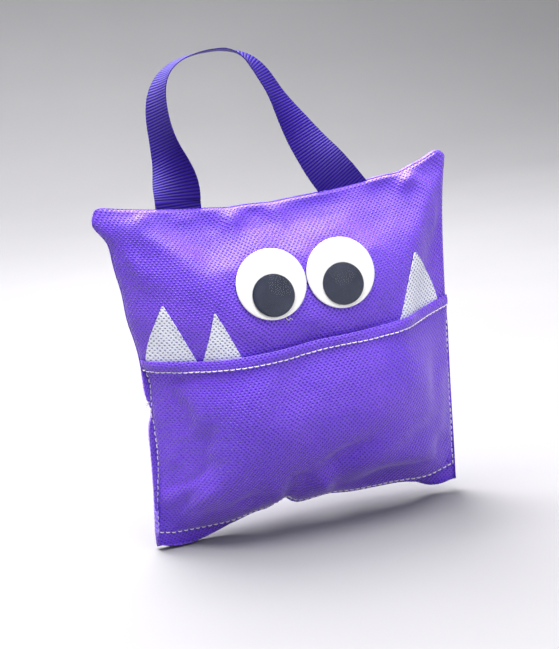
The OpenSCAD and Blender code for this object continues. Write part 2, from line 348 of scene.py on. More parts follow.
def dimples(material):
    # two square lattices, one in the middle of the other's cells, as hot rollers leave them
    px, py = (p * mm for p in bondedCloth["pitch"])
    uv = node(material, "UVMap", uv_map="cloth").outputs[0]
    stray = node(material, "TexNoise", Scale=520.0, Detail=1.0)
    wire(material, uv, stray.inputs["Vector"])
    astray = vectorMaths(material, "SUBTRACT", stray.outputs["Color"], (0.5, 0.5, 0.5))
    astray = vectorMaths(material, "MULTIPLY", astray, (2 * bondedCloth["stray"] * mm,) * 3)
    cells = vectorMaths(material, "MULTIPLY", vectorMaths(material, "ADD", uv, astray), (1 / px, 1 / py, 1))
    reach = []
    for shift in (0, 0.5):
        moved = vectorMaths(material, "ADD", cells, (shift, shift, 0))
        inside = vectorMaths(material, "FRACTION", moved)
        centred = vectorMaths(material, "SUBTRACT", inside, (0.5, 0.5, 0))
        sized = vectorMaths(material, "MULTIPLY", centred, (px, py, 0))
        reach.append(vectorMaths(material, "LENGTH", sized))
    nearest = maths(material, "MINIMUM", *reach)
    spot = node(material, "MapRange", interpolation_type="SMOOTHSTEP")
    wire(material, nearest, spot.inputs["Value"])
    spot.inputs["From Min"].default_value = 0.12 * mm
    spot.inputs["From Max"].default_value = bondedCloth["dimple"] * mm
    return spot.outputs["Result"]


def clothMaterial(name, deep, plain, bright, sheen, dimpleShade):
    material, shader = newMaterial(name, plain, 0.46, Sheen_Weight=sheen[0], Sheen_Roughness=0.42,
                                   Sheen_Tint=(*sheen[1], 1), Specular_IOR_Level=0.8)
    dimple = dimples(material)
    fibres = noiseOn(material, Scale=1500.0, Detail=3.0, Roughness=0.6)
    cloud = noiseOn(material, Scale=26.0, Detail=4.0, Roughness=0.55)
    # colour: darker in the dimples, which is painted shade, and a little uneven over the cloth
    tone = maths(material, "MULTIPLY_ADD", dimple, dimpleShade, 0.54 - 0.9 * dimpleShade)
    tone = maths(material, "ADD", tone, maths(material, "MULTIPLY", fibres, 0.30))
    tone = maths(material, "ADD", tone, maths(material, "MULTIPLY_ADD", cloud, 0.34, -0.17))
    colourBy(material, shader, tone, deep, bright).new(0.55).color = (*plain, 1)
    rough = maths(material, "MULTIPLY_ADD", fibres, 0.2, 0.40)
    wire(material, rough, shader.inputs["Roughness"])
    height = maths(material, "ADD", dimple, maths(material, "MULTIPLY", fibres, 0.30))
    bumpBy(material, shader, height, bondedCloth["strength"], bondedCloth["relief"])
    return material


purpleCloth = clothMaterial(
    "purple bonded cloth", deep=(0.035, 0.004, 0.32), plain=(0.085, 0.010, 0.68), bright=(0.27, 0.085, 0.90),
    sheen=(0.52, (0.92, 0.76, 1.0)), dimpleShade=0.62)
whiteCloth = clothMaterial(
    "white bonded cloth", deep=(0.24, 0.25, 0.46), plain=(0.74, 0.77, 0.92), bright=(0.95, 0.96, 1.0),
    sheen=(0.1, (0.9, 0.92, 1.0)), dimpleShade=0.80)


# the bag's outline
bagCut = {
    "height": 168, "halfTop": 89.3, "waistLeft": 75.5, "footRight": 77.3, "spreadRight": 8, "footFlare": 5,
    "topSag": 10, "mouth": 94, "mouthRise": 3, "turnedLip": 0.35, "leftFlange": 3.4, "rightFlange": 1.6,
    "bottomFlange": 7, "ear": 6.5, "halfGap": 0.35, "faceDepth": 28.6, "backDepth": 32,
}
cut = bagCut


def leftSide(z):
    h = min(1, max(0, z / cut["height"]))
    # drawn in at the flange, fuller above the mouth and below the ear's tip
    dip = 2.4 * hump(z, 66, 6) - 2.6 * hump(z, 113, 13) - 2.6 * hump(z, 136, 14) - 3.8 * hump(z, 158.5, 6)
    spread = (cut["halfTop"] - cut["waistLeft"]) * h ** 6
    return -cut["waistLeft"] - spread - cut["footFlare"] * (1 - h) ** 4 + dip


def rightSide(z):
    h = min(1, max(0, z / cut["height"]))
    out = cut["footRight"] + cut["spreadRight"] * h
    return out + (cut["halfTop"] - cut["footRight"] - cut["spreadRight"]) * h ** 8


def topEdge(x):
    plain = cut["height"] - cut["topSag"] * (1 - (x / cut["halfTop"]) ** 2)
    plain += 3.0 * ramp(x, 74, 87)
    plain -= 0.6 * hump(x, -24, 5) + 0.5 * hump(x, -2, 6)
    return plain - 1.0 * hump(x, 64, 6) + 0.6 * hump(x, 75, 6)


def stitchLine(x):
    # the bottom seam: straight at the left, gathered at one place, rising at the right end
    z = 7.4 - 3.2 * ramp(-x, 24, 46) + 1.6 * hump(x, -78, 4) + 5.0 * hump(x, -14.5, 4.4)
    return z + 1.4 * hump(x, 9, 9) + 2.4 * ramp(x, 62, 78) - 0.8 * hump(x, 58, 8)


def openSeam(z):
    # 1 below the mouth, where the seam is stitched flat, 0 above, where it is turned
    return 1 - ramp(z, cut["mouth"] - 14, cut["mouth"] - 1)


def sideLip(z, side):
    if side > 0:
        return cut["turnedLip"] + (cut["rightFlange"] - cut["turnedLip"]) * openSeam(z)
    wide = cut["leftFlange"] - 2.9 * hump(z, 66, 6) - 2.0 * (1 - ramp(z, 12, 42))
    return cut["turnedLip"] + max(0, wide - cut["turnedLip"]) * openSeam(z)


def leftSeam(z):
    return leftSide(z) + sideLip(z, -1)


def rightSeam(z):
    return rightSide(z) - sideLip(z, 1)


def roundEar(x, z):
    # blunts the two upper corners: a square of cloth in the corner is drawn into a quarter disc
    reach = cut["ear"]
    fromSide = x - leftSide(z) if x < 0 else rightSide(z) - x
    fromTop = topEdge(x) - z
    if fromSide >= reach or fromTop >= reach:
        return x, z
    u, w = 1 - fromSide / reach, 1 - fromTop / reach
    x -= math.copysign(u * (1 - math.sqrt(max(0, 1 - w * w / 2))) * reach, x)
    z -= w * (1 - math.sqrt(max(0, 1 - u * u / 2))) * reach
    return x, z


def topSeam(x):
    return topEdge(x) - cut["turnedLip"]


def crown(s):
    return (1 - min(1, abs(s)) ** 2.6) ** 0.62


def rise(s):
    # from the foot to the top: the upper half slopes back more gently
    return (1 - min(1, abs(s)) ** (2.4 if s > 0 else 2.6)) ** 0.62


def shares(x, z):
    across = x / -leftSeam(z) if x < 0 else x / rightSeam(z)
    return across, 2 * (z - stitchLine(x)) / (topSeam(x) - stitchLine(x)) - 1


def edgeShare(x, z):
    # how far a place is from the nearest seam: 0 on it, 1 in the middle
    across, upward = shares(x, z)
    return min(1 - abs(across), 1 - abs(upward))


meetings = 9  # the two lines that cross at a place depend on each other, so it is found in a few passes


def spot(c, r, x=0.0, z=84.0):
    # the place of a share of the way across and up, within the seams
    for _ in range(meetings):
        x = -c * leftSeam(z) if c < 0 else c * rightSeam(z)
        z = stitchLine(x) + (r + 1) / 2 * (topSeam(x) - stitchLine(x))
    return x, z


def seamShares(count):
    return [math.sin(math.pi / 2 * (2 * k / (count - 1) - 1)) for k in range(count)]


# dents and ridges that the stuffing leaves: place, half widths, turn in degrees, how deep
facePuckers = [
    (-24.5, 151, 3.4, 6.5, -24, 3.6), (-1.5, 153, 4, 6, 10, 2.2), (66.5, 158, 3.2, 4.6, -34, 3.2),
    (73, 156, 2.2, 5, 30, 1.6), (-67, 159, 4, 3.4, 20, 1.8), (40, 154, 6, 4, 0, 1.2),
    (-46, 156, 5, 3, 0, 1.0), (-74, 140, 2.6, 9, 12, 1.4), (77, 138, 2.8, 9, -10, 1.5),
    (-12, 154, 4, 5, 0, -1.2), (55, 155, 5, 6, 0, -1.0), (-36, 152, 5, 6, 10, -1.0), (0, 104, 30, 8, 0, 1.4),
]
pocketPuckers = [
    (-64, 67, 4.5, 11, 18, 4.6), (-62, 36, 10, 4.5, 32, 4.6), (-56, 50, 4.5, 11, -32, 3.4),
    (-67, 20, 3, 9, -40, 2.0), (-53, 25, 14, 4, 44, -2.4), (15, 33, 15, 6, 24, 5.0),
    (-9, 18, 4.5, 9, -14, 5.6), (-20, 19, 5, 8, 25, -2.6), (4, 18, 5, 8, 8, -3.2), (38, 15, 12, 4.5, 4, 3.2),
    (58, 14, 8, 4, -8, 2.2), (70, 22, 4, 10, 24, 2.2), (-36, 16, 9, 4.5, 20, 2.2), (67, 60, 4.5, 15, -6, 1.8),
    (32, 56, 22, 10, 16, -1.6), (-30, 60, 18, 12, -10, -1.4), (-66, 84, 6, 3.0, -12, 2.4),
    (-40, 40, 8, 12, -20, -1.2), (52, 34, 16, 6, 26, 1.4),
]
backPuckers = [
    (-30, 150, 5, 7, 10, 2.4), (8, 151, 6, 6, -8, 1.8), (45, 152, 5, 6, 20, 2.0), (-60, 26, 10, 5, -30, 2.8),
    (60, 30, 9, 6, 30, 2.8), (-14, 19, 6, 8, 8, 3.6), (22, 17, 8, 6, 0, 1.8), (-70, 90, 3, 14, 5, 1.6),
    (72, 80, 3, 14, -6, 1.8), (-40, 18, 7, 5, 0, 1.6), (50, 14, 7, 5, 0, 1.4),
]


dentReach = 40  # beyond it a dent is too shallow to count


def dentDepth(x, z, marks):
    total = 0
    for cx, cz, w, h, turn, deep in marks:
        dx, dz = x - cx, z - cz
        if abs(dx) > dentReach or abs(dz) > dentReach:
            continue
        a = math.radians(turn)
        px, pz = dx * math.cos(a) + dz * math.sin(a), dz * math.cos(a) - dx * math.sin(a)
        total += deep * math.exp(-(px / w) ** 2 - (pz / h) ** 2)
    return total


def press(piece, marks, wanted, roughness=0.0):
    # pushes the cloth in along its normals, leaving the seams where they are
    mesh = piece.data
    normals = [v.normal.copy() for v in mesh.vertices]
    for v, n in zip(mesh.vertices, normals):
        x, y, z = onBag(v.co)
        if not wanted(x, y, z):
            continue
        keep = ramp(edgeShare(x, z), 0.0, 0.05)
        place = Vector((x, y, z))
        lumps = noise.noise(place / 19) * roughness + noise.noise(place / 8) * roughness * 0.35
        v.co -= n * (dentDepth(x, z, marks) - lumps) * keep * mm


# the stuffed bag
def flangeDrop(x):
    # how far the bottom flange curls back under the pillow: 0 hangs straight, 1 folded away
    return ramp(x, -68, -24) * (1 - ramp(x, 46, 72)) * 0.94 + 0.04


stuffing = {"count": 92, "pressure": 2.6, "growth": 0.010, "frames": 16, "cap": 5.0, "settled": 14}


def bagColumns(count):
    return [-2, -1.5] + seamShares(count) + [1.5, 2]


def bagPlace(c, r, depth, sign, layer):
    # c and r beyond 1 are the flange: 1 at the stitches, 2 at the cut edge
    inC, inR = max(-1, min(1, c)), max(-1, min(1, r))
    x, z = spot(inC, inR)
    y = sign * cut["halfGap"]
    if abs(c) < 1 and abs(r) < 1:
        y = sign * (cut["halfGap"] + depth * crown(inC) * rise(inR))
    if abs(c) > 1:
        beyond = abs(c) - 1
        x += math.copysign(sideLip(z, c) * beyond, c)
        low = openSeam(z) * sideLip(z, c) / cut["leftFlange"]
        y += layer * beyond * low * (0.9 + 0.8 * math.sin(z / 9.0 + layer))
    if r > 1:
        z += cut["turnedLip"] * (r - 1)
    if r < -1:
        beyond = -r - 1
        curl = flangeDrop(x) * math.pi / 2
        reach = cut["bottomFlange"] * beyond * (1 - 0.6 * flangeDrop(x))
        z -= reach * math.cos(curl * beyond)
        y += reach * math.sin(curl * beyond) + layer * beyond * (0.15 + 0.3 * math.sin(x / 6.5 + 1))
    x, z = roundEar(x, z)
    return at(x, y, z)


def halfBag(name, depth, sign, layer):
    lines = bagColumns(stuffing["count"])
    n = len(lines)
    return clothGrid(name, n, n, lambda i, j: bagPlace(lines[i], lines[j], depth, sign, layer), n // 2)


def makeBag():
    front = halfBag("bagFront", cut["faceDepth"], -1, -0.55)
    back = halfBag("bagBack", cut["backDepth"], 1, 0.75)
    n = len(bagColumns(stuffing["count"]))
    joinTo(front, [back])
    bag = named("stuffedBag")
    editWith("EDGE")
    bpy.ops.mesh.select_non_manifold(extend=False)
    # the two rims are joined with a groove between the layers
    bpy.ops.mesh.bridge_edge_loops(number_cuts=1)
    bpy.ops.object.mode_set(mode="OBJECT")
    for v in bag.data.vertices[2 * n * n:]:
        x, y, z = onBag(v.co)
        low = openSeam(z)
        dx = 0.15 + 0.6 * low
        v.co += Vector((-math.copysign(dx, x) * (abs(x) > 60), 0, dx * (z < 12) * 0.8 - 0.3 * (z > 150))) * mm
    outward(bag)
    return bag


def pinWhere(piece, held):
    group = piece.vertex_groups.new(name="sewn")
    for v in piece.data.vertices:
        weight = held(*onBag(v.co))
        if weight > 0:
            group.add([v.index], weight, "REPLACE")


def puffUp(piece, how, held):
    # the filling pushes the cloth out while its seams are held, and the spare cloth puckers beside them
    start = [v.co.copy() for v in piece.data.vertices]
    pinWhere(piece, held)
    pick(piece)
    cloth = piece.modifiers.new("filling", "CLOTH")
    s = cloth.settings
    s.quality = 6
    s.mass = 0.12
    s.tension_stiffness = s.compression_stiffness = 18
    s.shear_stiffness = 6
    s.bending_stiffness = 0.35
    s.tension_damping = s.compression_damping = 8
    s.bending_damping = 0.6
    s.air_damping = 2.5
    s.vertex_group_mass = "sewn"
    s.pin_stiffness = 1
    s.use_pressure = True
    s.uniform_pressure_force = how["pressure"]
    s.shrink_min = -how["growth"]
    s.effector_weights.gravity = 0
    cloth.collision_settings.use_collision = False
    cloth.collision_settings.use_self_collision = False
    cloth.point_cache.frame_start = 1
    cloth.point_cache.frame_end = how["frames"]
    for f in range(1, how["frames"] + 1):
        scene.frame_set(f)
    bpy.ops.object.modifier_apply(modifier=cloth.name)
    scene.frame_set(1)
    furthest = 0
    for v, was in zip(piece.data.vertices, start):
        step = v.co - was
        furthest = max(furthest, step.length / mm)
        if step.length > how["cap"] * mm:
            v.co = was + step.normalized() * how["cap"] * mm
    # the stiff bonded cloth holds no sharp crease
    editWith("VERT")
    bpy.ops.object.mode_set(mode="OBJECT")
    for v in piece.data.vertices:
        v.select = held(*onBag(start[v.index])) < 0.5
    bpy.ops.object.mode_set(mode="EDIT")
    bpy.ops.mesh.vertices_smooth(factor=0.5, repeat=how["settled"])
    bpy.ops.object.mode_set(mode="OBJECT")
    print("  moved at most", round(furthest, 1), "mm")


heldShare = 0.012  # the strip along a seam that stays put while the cloth is filled


def sewnBag(x, y, z):
    return 1.0 if edgeShare(x, z) < heldShare else 0.0


bag = makeBag()
puffUp(bag, stuffing, sewnBag)
print("bag stuffed")


# room for the glued eyes: the cloth is flat behind each one
eyes = {}
for side in ("left", "right"):
    turning = joints[side + "_pupil_turn"]
    eyes[side] = {"centre": Vector(turning["pos_m"]), "axis": Vector(turning["axis"])}
eyeMake = {
    "radius": 17.0, "backAt": -1.65, "domeRise": 3.3, "domeWall": 1.5, "pupil": 10.2, "drop": 5.4,
    "seat": 16, "pull": 4.5,  # how far round an eye the cloth is drawn to its glue, and how much at most
}


def flattenBehind(piece, eye):
    plane = eye["centre"] + eye["axis"] * (eyeMake["backAt"] - 0.25) * mm
    rim = eyeMake["radius"] + eyeMake["seat"]
    for v in piece.data.vertices:
        if v.co.y > seamY - 8 * mm:
            continue
        away = v.co - plane
        lift = away.dot(eye["axis"])
        aside = (away - lift * eye["axis"]).length / mm
        if aside > rim:
            continue
        if lift > 0:
            v.co -= eye["axis"] * lift * (1 - ramp(aside, eyeMake["radius"] - 2, eyeMake["radius"] + 9))
        else:
            pull = min(eyeMake["pull"] * mm, max(0, -lift - 0.2 * mm))
            v.co += eye["axis"] * pull * (1 - ramp(aside, eyeMake["radius"], rim))


def isFront(x, y, z):
    return y < -0.8


def isBack(x, y, z):
    return y > 0.8


press(bag, facePuckers, isFront, 0.7)
press(bag, backPuckers, isBack, 0.9)
for eye in eyes.values():
    flattenBehind(bag, eye)
bag.data.update()


def frontOf(piece):
    pick(piece)
    return BVHTree.FromObject(piece, bpy.context.evaluated_depsgraph_get())


bagTree = frontOf(bag)


def onCloth(tree, x, z, lift=0.0):
    # the front of a piece at x, z, lifted off it along its normal
    hit, normal, _, _ = tree.ray_cast(at(x, -90, z), Vector((0, 1, 0)))
    if hit is None:
        hit, normal = at(x, -0.6, z), Vector((0, -1, 0))
    if normal.y > 0:
        normal = -normal
    return hit + normal * lift * mm, normal


smoothShade(bag)
cover(bag, purpleCloth)
print("bag pressed")


# the pocket, which is the mouth
pocketMake = {
    "columns": 92, "rows": 58, "room": 4.2, "hemRoom": 1.5, "cloth": 0.55, "hem": 5.4, "hemThick": 2.1,
    "pressure": 2.0, "growth": 0.010, "frames": 14, "cap": 4.0, "settled": 8,
    "seamAt": -1.1, "clear": 1.3,  # where it is sewn down, and how far out its loose part starts
}


def mouthLine(x):
    # it hangs lowest left of the middle and rises to its right end
    z = cut["mouth"] + cut["mouthRise"] * (x / cut["waistLeft"]) ** 2
    return z - 0.6 - 4.6 * ramp(-x, -22, 56) + 1.0 * ramp(x, 58, 77)


def pocketRoom(x, z):
    across = shares(x, z)[0]
    open_ = crown(across) * ramp(z - stitchLine(x), 0, 20)
    top = ramp(z, mouthLine(x) - 22, mouthLine(x) - 3)
    return 0.75 + open_ * (pocketMake["room"] * (1 - top) + pocketMake["hemRoom"] * top)


def pocketSpot(c, r):
    x, z = 0.0, 50.0
    inC = max(-1, min(1, c))
    for _ in range(meetings):
        x = -inC * leftSeam(z) if inC < 0 else inC * rightSeam(z)
        z = stitchLine(x) + max(0, r) * (mouthLine(x) - stitchLine(x))
    return x, z


def pocketPlace(c, r):
    x, z = pocketSpot(c, r)
    surface, _ = onCloth(bagTree, x, z)
    y = (surface.y - seamY) / mm - pocketRoom(x, z)
    if abs(c) >= 1 or r <= 0:
        y = pocketMake["seamAt"]
    if abs(c) > 1:
        beyond = abs(c) - 1
        x += math.copysign(sideLip(z, c) * beyond, c)
        y = pocketMake["seamAt"] - 0.5 * sideLip(z, c) * beyond * (0.6 + 0.4 * math.sin(z / 11)) * openSeam(z)
    if r < 0:
        beyond = -r
        curl = flangeDrop(x) * math.pi / 2
        reach = (cut["bottomFlange"] + 0.5) * beyond * (1 - 0.6 * flangeDrop(x))
        z -= reach * math.cos(curl * beyond)
        y = pocketMake["seamAt"] + reach * math.sin(curl * beyond)
        y -= 0.3 * beyond * (0.6 + 0.6 * math.sin(x / 8.5))
    return at(x, y, z)


def makePocket():
    columns = [-2, -1.5] + seamShares(pocketMake["columns"]) + [1.5, 2]
    rises = [-1, -0.5] + [(k / (pocketMake["rows"] - 1)) ** 1.35 for k in range(pocketMake["rows"])]
    last = len(rises) - 1
    return clothGrid("pocket", len(columns), len(rises), lambda i, j: pocketPlace(columns[i], rises[j]), last)


pocket = makePocket()


def sewnPocket(x, y, z):
    across = shares(x, z)[0]
    if 1 - abs(across) < heldShare or z < stitchLine(x) + 0.6:
        return 1.0
    return 0.9 if z > mouthLine(x) - 4 else 0.0


puffUp(pocket, pocketMake, sewnPocket)
press(pocket, pocketPuckers, lambda x, y, z: y < -pocketMake["clear"] and z < mouthLine(x) - 3, 0.6)


def keepOff(piece, tree, gap):
    # no part of the loose cloth lies inside what is behind it
    for v in piece.data.vertices:
        x, y, z = onBag(v.co)
        if y > -pocketMake["clear"]:
            continue
        behind, _ = onCloth(tree, x, z)
        v.co.y = min(v.co.y, behind.y - gap * mm)


keepOff(pocket, bagTree, 0.8)
pocket.data.update()
topLine = []
for v in pocket.data.vertices:
    x, _, z = onBag(v.co)
    if v.co.z > at(0, 0, mouthLine(x) - 0.15).z and abs(shares(x, z)[0]) < 0.998:
        topLine.append(v.co.copy())
topLine.sort(key=lambda co: co.x)
thicken(pocket, "cloth", pocketMake["cloth"])
applyAll(pocket)
smoothShade(pocket, 50)
cover(pocket, purpleCloth)
pocketTree = frontOf(pocket)
print("pocket sewn on,", len(topLine), "points along its mouth")


# the folded hem: a flat roll along the mouth, pinched where it is stitched
def resample(points, count):
    lengths = [0.0]
    for a, b in zip(points, points[1:]):
        lengths.append(lengths[-1] + (b - a).length)
    out, k = [], 0
    for n in range(count):
        want = lengths[-1] * n / (count - 1)
        while k < len(points) - 2 and lengths[k + 1] < want:
            k += 1
        span = max(1e-9, lengths[k + 1] - lengths[k])
        out.append(points[k].lerp(points[k + 1], (want - lengths[k]) / span))
    return out, lengths[-1]


hemPoints, hemAround = 170, 18
hemLine, hemLength = resample(topLine, hemPoints)


def hemPlace(i, j):
    x, _, z = onBag(hemLine[i])
    low = z - pocketMake["hem"]
    a = 2 * math.pi * j / (hemAround - 1)
    # a tall thin loop: rounded over the top, drawn in at the stitches near its foot
    h = 0.5 + 0.5 * math.cos(a)
    half = pocketMake["hemThick"] / 2 * (0.45 + 0.55 * math.sin(math.pi * min(1, h * 1.02)) ** 0.5)
    half *= 0.35 + 0.65 * ramp(min(i, hemPoints - 1 - i), 0, 9)
    side = -math.sin(a)
    zz = low + (pocketMake["hem"] + 0.5) * h
    base, normal = onCloth(pocketTree, x, min(zz, z - 0.3))
    wave = 0.12 * noise.noise(Vector((x / 5, 0, 3)))
    point = base + normal * (side * half + 0.12 + wave) * mm
    point.z = at(0, 0, zz).z + normal.z * side * half * mm
    return point


hem = clothGrid("pocketHem", hemPoints, hemAround, hemPlace)
outward(hem)
editWith("EDGE")
bpy.ops.mesh.select_non_manifold(extend=False)
bpy.ops.mesh.edge_face_add()
bpy.ops.object.mode_set(mode="OBJECT")
outward(hem)
smoothShade(hem, 60)
cover(hem, purpleCloth)
hemTree = frontOf(hem)
print("hem folded, length", round(hemLength / mm), "mm")


# stitches
thread = {"radius": 0.28, "rise": 0.34, "dip": 0.36, "gap": 0.2, "hemGap": 0.06, "lay": 0.05}
threadCloth, threadShader, twist = mottled(
    "white thread", (0.74, 0.66, 0.78), (1.0, 0.96, 0.97), 0.6, {"Scale": 3200.0, "Detail": 2.0},
    Sheen_Weight=0.3)
bumpBy(threadCloth, threadShader, twist, 0.5, 0.08)


def oneStitch():
    # one stitch lying along X, 1 long: up out of the cloth, over and down again
    deselect()
    bpy.ops.mesh.primitive_cylinder_add(vertices=7, radius=1, depth=1, rotation=(0, math.pi / 2, 0))
    piece = settle(named("stitch"))
    bpy.ops.object.mode_set(mode="EDIT")
    bpy.ops.mesh.select_all(action="SELECT")
    bpy.ops.mesh.subdivide(number_cuts=1)
    for k in range(1, 6):
        bpy.ops.mesh.select_all(action="SELECT")
        bpy.ops.mesh.bisect(plane_co=(k / 6 - 0.5, 0, 0), plane_no=(1, 0, 0))
    bpy.ops.object.mode_set(mode="OBJECT")
    return piece


stitchModel = oneStitch()


def sew(name, points, normals, gap):
    # copies of the one stitch between each two points, with their ends in the cloth
    made = bmesh.new()
    random.seed(len(points))
    for k in range(len(points) - 1):
        a, b = points[k], points[k + 1]
        up = (normals[k] + normals[k + 1]).normalized()
        along = b - a
        length = along.length
        along.normalize()
        aside = up.cross(along).normalized()
        up = along.cross(aside)
        a = a + aside * random.uniform(-0.12, 0.12) * mm
        one = bmesh.new()
        one.from_mesh(stitchModel.data)
        for v in one.verts:
            s = v.co.x
            arch = thread["rise"] * (1 - (2 * s) ** 4) - thread["dip"] * (2 * s) ** 4
            thin = thread["radius"] * (1 - 0.35 * (2 * s) ** 6)
            v.co = (a + along * (s * (1 - gap) + 0.5) * length + aside * v.co.y * thin * mm
                    + up * (v.co.z * thin + arch) * mm)
        mesh = bpy.data.meshes.new("part")
        one.to_mesh(mesh)
        made.from_mesh(mesh)
        one.free()
        bpy.data.meshes.remove(mesh)
    data = bpy.data.meshes.new(name)
    made.to_mesh(data)
    made.free()
    piece = bpy.data.objects.new(name, data)
    scene.collection.objects.link(piece)
    smoothShade(piece)
    piece.data.materials.append(threadCloth)
    return piece


def sewAlong(name, tree, places, length, gap=thread["gap"]):
    raw = [onCloth(tree, x, z, thread["lay"])[0] for x, z in places]
    path, total = resample(raw, 400)
    points, _ = resample(path, max(2, round(total / (length * mm))) + 1)
    normals = [onCloth(tree, onBag(p)[0], onBag(p)[2])[1] for p in points]
    return sew(name, points, normals, gap)


def between(a, b, count):
    return [a + (b - a) * k / (count - 1) for k in range(count)]


def hemStitchPlace(p):
    x, _, z = onBag(p)
    return x, z - pocketMake["hem"] + 0.9 + 0.25 * math.sin(x / 9)


def bottomStitchPlace(x):
    # the line is straighter than the seam that gathers behind it
    return x, stitchLine(x) + 0.2 + 0.9 * ramp(x, -60, -30) - 0.6 * hump(x, -76, 2)


leftRun = between(mouthLine(-75) - pocketMake["hem"] - 0.5, 5.4, 60)
rightRun = between(mouthLine(75) - pocketMake["hem"] - 0.5, 9.8, 60)
bottomRun = between(leftSeam(6) + 0.3, rightSeam(9) - 0.3, 160)
hemStitches = sewAlong("hemStitches", hemTree, map(hemStitchPlace, hemLine[1:-1]), 2.9, thread["hemGap"])
leftStitches = sewAlong(
    "leftStitches", pocketTree, [(leftSeam(z) - 0.3 + 0.3 * math.sin(z / 6), z) for z in leftRun], 3.1)
rightStitches = sewAlong(
    "rightStitches", pocketTree, [(rightSeam(z) + 0.3 + 0.3 * math.sin(z / 7), z) for z in rightRun], 3.1)
bottomStitches = sewAlong("bottomStitches", pocketTree, map(bottomStitchPlace, bottomRun), 3.0)
bpy.data.objects.remove(stitchModel)
print("stitches sewn")


# the tuft of cut thread on the left flange
tuft = {"x": -74.6, "y": -1.8, "z": 70.5, "strands": 7, "length": 3.6, "radius": 0.13}


def makeTuft():
    random.seed(4)
    strands = []
    for _ in range(tuft["strands"]):
        strand, points = strandCurve("strand", tuft["radius"], 1, 3)
        x, y, z = tuft["x"] + random.uniform(-0.3, 0.5), tuft["y"], tuft["z"] + random.uniform(-1, 1)
        a = random.uniform(2.2, 4.6)
        for point in points:
            point.co = at(x, y, z)
            a += random.uniform(-0.7, 0.7)
            x += math.cos(a) * tuft["length"] / 4
            z += math.sin(a) * tuft["length"] / 5
            y -= random.uniform(-0.2, 0.5)
        strands.append(strand)
    deselect()
    for strand in strands:
        strand.select_set(True)
    bpy.context.view_layer.objects.active = strands[0]
    bpy.ops.object.convert(target="MESH")
    bpy.ops.object.join()
    piece = named("threadEnds")
    smoothShade(piece)
    cover(piece, threadCloth)
    return piece


threadEnds = makeTuft()


# teeth
teeth = {
    "outer_left_tooth": {
        "name": "outerLeftTooth", "foot": (-74.2, -51.0), "tip": (-64.0, 118.4), "belly": (1.9, -0.2)},
    "inner_left_tooth": {
        "name": "innerLeftTooth", "foot": (-50.4, -31.4), "tip": (-42.0, 112.8), "belly": (0.0, 0.2)},
    "right_tooth": {"name": "rightTooth", "foot": (47.4, 75.6), "tip": (61.6, 124.6), "belly": (-0.3, 2.6)},
}
toothMake = {
    "columns": 17, "rows": 25, "cloth": 0.5, "halfTip": 0.35, "below": 2.6, "lift": 0.40, "curl": 0.45,
}


def makeTooth(how):
    columns, rows = toothMake["columns"], toothMake["rows"]
    tipX, tipZ = how["tip"]

    def shape(i, j):
        s, h = i / (columns - 1), j / (rows - 1)
        h = h ** 0.96
        belly = math.sin(math.pi * h)
        left = how["foot"][0] + (tipX - toothMake["halfTip"] - how["foot"][0]) * h - how["belly"][0] * belly
        right = how["foot"][1] + (tipX + toothMake["halfTip"] - how["foot"][1]) * h + how["belly"][1] * belly
        x = left + (right - left) * s
        foot = mouthLine(x) - toothMake["below"]
        z = foot + (tipZ - foot) * h
        return onCloth(bagTree, x, z, toothMake["lift"] + toothMake["curl"] * ramp(h, 0.55, 1))[0]

    tooth = clothGrid(how["name"], columns, rows, shape)
    layer = tooth.data.uv_layers["cloth"]
    for loop in tooth.data.loops:
        # cut straight from the roll, so the dimples keep their rows up to the tip
        co = tooth.data.vertices[loop.vertex_index].co
        layer.data[loop.index].uv = (co.x, co.z)
    # the size it was cut to, along the cloth
    foot = sum((shape(i + 1, 0) - shape(i, 0)).length for i in range(columns - 1))
    height = sum((shape(columns // 2, j + 1) - shape(columns // 2, j)).length for j in range(rows - 1))
    how["flat"], how["area"] = (foot, height), min(foot * height, sum(f.area for f in tooth.data.polygons))
    thicken(tooth, "cloth", toothMake["cloth"])
    applyAll(tooth)
    outward(tooth)
    smoothShade(tooth, 50)
    cover(tooth, whiteCloth)
    return tooth


for how in teeth.values():
    how["piece"] = makeTooth(how)
print("teeth cut")


# eyes
eyeWhite = mottled("eye white plastic", (0.94, 0.94, 0.91), (0.99, 0.99, 0.96), 0.28,
                   {"Scale": 60.0, "Detail": 3.0}, Specular_IOR_Level=0.5)[0]
pupilBlack, pupilShader, pupilCloud = mottled(
    "dark pupil plastic", (0.008, 0.011, 0.028), (0.045, 0.055, 0.095), 0.13,
    {"Scale": 120.0, "Detail": 5.0, "Roughness": 0.6}, Specular_IOR_Level=0.28)
wire(pupilBlack, maths(pupilBlack, "MULTIPLY_ADD", pupilCloud, 0.14, 0.07), pupilShader.inputs["Roughness"])
clearPlastic = newMaterial("clear dome plastic", (0.0, 0.0, 0.0), 0.05, Alpha=0.04, Specular_IOR_Level=1.0)[0]
setGlue = mottled("set glue", (0.70, 0.66, 0.62), (0.94, 0.92, 0.90), 0.3,
                  {"Scale": 400.0, "Detail": 3.0}, Transmission_Weight=0.25)[0]


def eyeFrame(eye):
    # Z out of the eye, Y up its face
    out = eye["axis"].normalized()
    side = Vector((0, 0, 1)).cross(out).normalized()
    turned = Matrix((side, out.cross(side), out)).transposed().to_4x4()
    return Matrix.Translation(eye["centre"] + out * eyeMake["backAt"] * mm) @ turned


def putOnEye(piece, eye):
    piece.matrix_world = eyeFrame(eye) @ piece.matrix_world
    return settle(piece)


